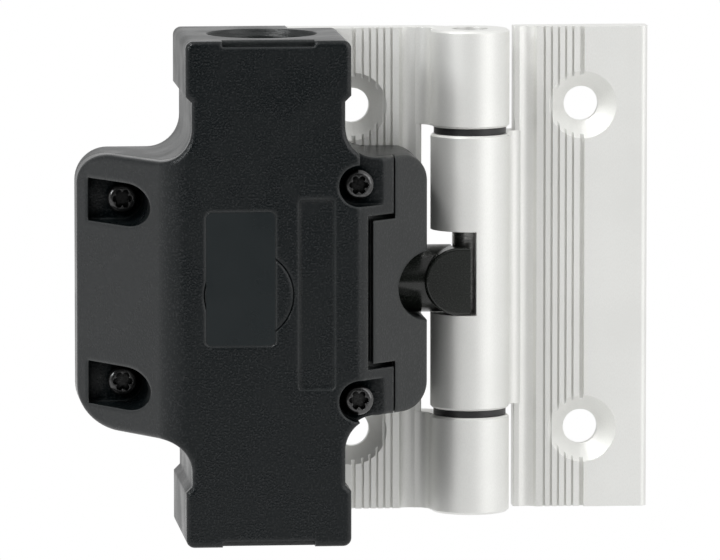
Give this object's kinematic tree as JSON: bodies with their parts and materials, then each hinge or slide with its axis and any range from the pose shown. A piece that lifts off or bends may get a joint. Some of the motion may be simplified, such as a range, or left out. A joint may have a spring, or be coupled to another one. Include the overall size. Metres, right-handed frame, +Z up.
{
  "type": "hinge safety switch",
  "caption": "Moulded safety switch housing on the fixed leaf of an alloy door hinge, worked by a spring tongue that reaches into a slot in the hinge's centre knuckle.",
  "frame": {"origin": "midway between the two screw holes of the fixed leaf, on its back face", "axes": "+X from the switch to the door leaf, across the hinge; -Y to the front, away from the mounting plane; +Z up, along the hinge pin"},
  "size_m": [0.1054, 0.033, 0.092],
  "materials": {
    "leaf_alloy": "satin, fine drawn lines",
    "pin_steel": "turned",
    "bearing_plastic": "smooth moulded",
    "housing_plastic": "fine moulded grain",
    "lid_plastic": "fine moulded grain",
    "plate_foil": "fine satin",
    "screw_black": "black passivated",
    "zinc_steel": "zinc plated",
    "tongue_plastic": "satin to glossy",
    "seal_rubber": "matt",
    "block_plastic": "natural moulding",
    "carrier_plastic": "natural moulding",
    "contact_brass": "rolled strip",
    "spring_steel": "drawn wire"
  },
  "bodies": {
    "switch_side": {"fixed_leaf": "leaf_alloy", "hinge_pin": "pin_steel", "base_screws": "zinc_steel", "housing_base": "housing_plastic", "housing_lid": "lid_plastic", "lid_seal": "seal_rubber", "rating_plate": "plate_foil", "left_lid_screws": "screw_black", "right_lid_screws": "screw_black", "tongue_seal": "seal_rubber", "contact_block": "block_plastic", "block_screws": "zinc_steel", "fixed_contacts": "contact_brass", "terminal_clamps": "zinc_steel", "terminal_screws": "zinc_steel", "return_spring": "spring_steel"},
    "door_side": {"door_leaf": "leaf_alloy", "upper_bush": "bearing_plastic", "lower_bush": "bearing_plastic"},
    "tongue_side": {"tongue": "tongue_plastic", "contact_carrier": "carrier_plastic", "moving_bridges": "contact_brass", "bridge_springs": "spring_steel"}
  },
  "joints": [
    {"name": "door_swing", "type": "hinge", "parent": "switch_side", "child": "door_side", "pos_m": [0.0212, -0.008, 0], "axis": [0, 0, -1], "range_deg": [0, 100]},
    {"name": "tongue_slide", "type": "slide", "parent": "switch_side", "child": "tongue_side", "axis": [-1, 0, 0], "range_m": [0, 0.008], "deforming": ["return_spring"]}
  ],
  "couplings": [
    {"joint": "tongue_slide", "follows": "door_swing", "m_per_rad": 0.0045}
  ]
}
